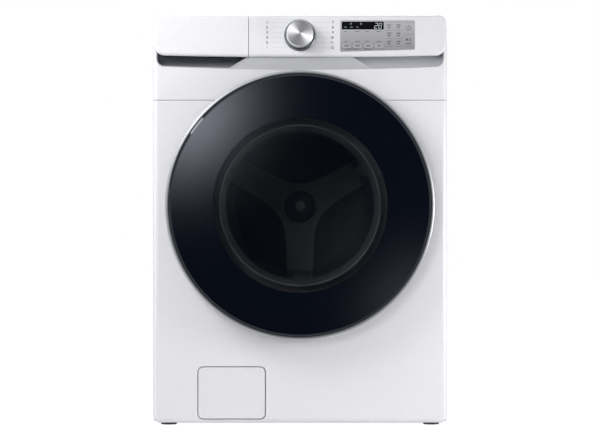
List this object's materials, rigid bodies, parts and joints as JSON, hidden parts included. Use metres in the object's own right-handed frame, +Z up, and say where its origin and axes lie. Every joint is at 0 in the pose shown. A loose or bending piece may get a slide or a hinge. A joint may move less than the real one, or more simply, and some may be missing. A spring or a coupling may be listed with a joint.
{
  "type": "front load washing machine",
  "caption": "White front load washing machine with a large round dark glass door on the left hinge, a leaning fascia with a dial and a detergent drawer.",
  "frame": {"origin": "middle of the floor footprint, level with the soles of the feet", "axes": "+Z up, the front with the door faces -Y, +X to the right as seen from the front"},
  "size_m": [0.686, 0.797, 0.957],
  "materials": {
    "cabinet_paint": "white gloss paint",
    "fascia_plastic": "white gloss plastic",
    "key_film": "silver grey film",
    "display_black": "black",
    "silver_plastic": "silver painted plastic",
    "button_plastic": "pale grey",
    "knob_aluminium": "spun brushed",
    "chrome_trim": "polished",
    "dark_glass": "dark tinted",
    "bowl_glass": "clear",
    "grey_plastic": "moulded",
    "black_plastic": "moulded",
    "white_plastic": "moulded",
    "tub_plastic": "filled polypropylene",
    "zinc_steel": "zinc plated",
    "drum_steel": "polished stainless steel",
    "spider_alloy": "cast",
    "shaft_steel": "ground",
    "rubber_grey": "moulded",
    "rubber_black": "moulded",
    "foot_rubber": "moulded on steel",
    "concrete": "cast",
    "winding_copper": "wound copper",
    "board_green": "circuit board"
  },
  "bodies": {
    "cabinet": {"cabinet_shell": "cabinet_paint", "rear_access_cover": "cabinet_paint", "front_panel_lower": "cabinet_paint", "front_panel_upper": "cabinet_paint", "top_cover": "cabinet_paint", "control_panel": "fascia_plastic", "touch_panel": "key_film", "display_window": "display_black", "control_board": "board_green", "knob_bezel": "chrome_trim", "dispenser_housing": "white_plastic", "handle_trim": "silver_plastic", "top_braces": "zinc_steel", "hinge_bracket": "zinc_steel", "door_lock": "black_plastic", "door_gasket": "rubber_grey", "suspension_springs": "zinc_steel", "damper_tubes": "zinc_steel", "base_frame": "zinc_steel", "service_pocket": "white_plastic", "drain_pump": "black_plastic", "drain_hose": "rubber_black", "inlet_valves": "white_plastic", "inlet_hoses": "rubber_black", "cord_gland": "black_plastic", "cabinet_screws": "zinc_steel", "sump_hose": "rubber_black", "fill_hose": "rubber_black"},
    "tub": {"tub_front": "tub_plastic", "tub_rear": "tub_plastic", "counterweights": "concrete", "heater": "zinc_steel", "bearings": "shaft_steel", "shaft_seal": "rubber_black", "stator": "winding_copper", "damper_rods": "zinc_steel"},
    "drum": {"drum_shell": "drum_steel", "drum_back": "drum_steel", "drum_spider": "spider_alloy", "drum_lifters": "white_plastic", "drum_shaft": "shaft_steel", "rotor": "zinc_steel"},
    "door": {"door_ring": "silver_plastic", "door_glass": "dark_glass", "door_inner_frame": "grey_plastic", "door_bowl": "bowl_glass", "door_hook": "zinc_steel"},
    "drawer": {"drawer_front": "fascia_plastic", "drawer_tray": "white_plastic"},
    "knob": {"knob": "knob_aluminium"},
    "push_button_1": {"push_button_1": "button_plastic"},
    "push_button_2": {"push_button_2": "button_plastic"},
    "push_button_3": {"push_button_3": "button_plastic"},
    "push_button_4": {"push_button_4": "button_plastic"},
    "filter_cover": {"filter_cover": "fascia_plastic"},
    "pump_filter": {"pump_filter": "grey_plastic"},
    "foot_front_left": {"foot_front_left": "foot_rubber"},
    "foot_front_right": {"foot_front_right": "foot_rubber"},
    "foot_rear_left": {"foot_rear_left": "foot_rubber"},
    "foot_rear_right": {"foot_rear_right": "foot_rubber"}
  },
  "joints": [
    {"name": "door_hinge", "type": "hinge", "parent": "cabinet", "child": "door", "pos_m": [-0.298, -0.356, 0.5135], "axis": [0, 0, -1], "range_deg": [0, 120]},
    {"name": "tub_bounce", "type": "slide", "parent": "cabinet", "child": "tub", "axis": [0, 0, 1], "range_m": [-0.006, 0.006], "stiffness_N_per_m": 60000, "springref_m": 0.0095, "deforming": ["suspension_springs", "door_gasket", "sump_hose", "fill_hose"]},
    {"name": "drum_spin", "type": "hinge", "parent": "tub", "child": "drum", "pos_m": [0, 0.2, 0.5135], "axis": [0, -1, 0], "continuous": true},
    {"name": "drawer_slide", "type": "slide", "parent": "cabinet", "child": "drawer", "axis": [0, -1, 0], "range_m": [0, 0.24]},
    {"name": "knob_turn", "type": "hinge", "parent": "cabinet", "child": "knob", "pos_m": [0, -0.32632, 0.9095], "axis": [0, -0.9949, 0.1011], "continuous": true},
    {"name": "button_1_press", "type": "slide", "parent": "cabinet", "child": "push_button_1", "axis": [0, 0.9949, -0.1011], "range_m": [0, 0.001], "stiffness_N_per_m": 600},
    {"name": "button_2_press", "type": "slide", "parent": "cabinet", "child": "push_button_2", "axis": [0, 0.9949, -0.1011], "range_m": [0, 0.001], "stiffness_N_per_m": 600},
    {"name": "button_3_press", "type": "slide", "parent": "cabinet", "child": "push_button_3", "axis": [0, 0.9949, -0.1011], "range_m": [0, 0.001], "stiffness_N_per_m": 600},
    {"name": "button_4_press", "type": "slide", "parent": "cabinet", "child": "push_button_4", "axis": [0, 0.9949, -0.1011], "range_m": [0, 0.001], "stiffness_N_per_m": 600},
    {"name": "filter_cover_hinge", "type": "hinge", "parent": "cabinet", "child": "filter_cover", "pos_m": [-0.1593, -0.3195, 0.0266], "axis": [1, 0, 0], "range_deg": [0, 85]},
    {"name": "filter_turn", "type": "hinge", "parent": "cabinet", "child": "pump_filter", "pos_m": [-0.1593, -0.3, 0.076], "axis": [0, -1, 0], "range_deg": [0, 90]},
    {"name": "foot_front_left_height", "type": "slide", "parent": "cabinet", "child": "foot_front_left", "axis": [0, 0, -1], "range_m": [0, 0.015]},
    {"name": "foot_front_right_height", "type": "slide", "parent": "cabinet", "child": "foot_front_right", "axis": [0, 0, -1], "range_m": [0, 0.015]},
    {"name": "foot_rear_left_height", "type": "slide", "parent": "cabinet", "child": "foot_rear_left", "axis": [0, 0, -1], "range_m": [0, 0.015]},
    {"name": "foot_rear_right_height", "type": "slide", "parent": "cabinet", "child": "foot_rear_right", "axis": [0, 0, -1], "range_m": [0, 0.015]}
  ]
}
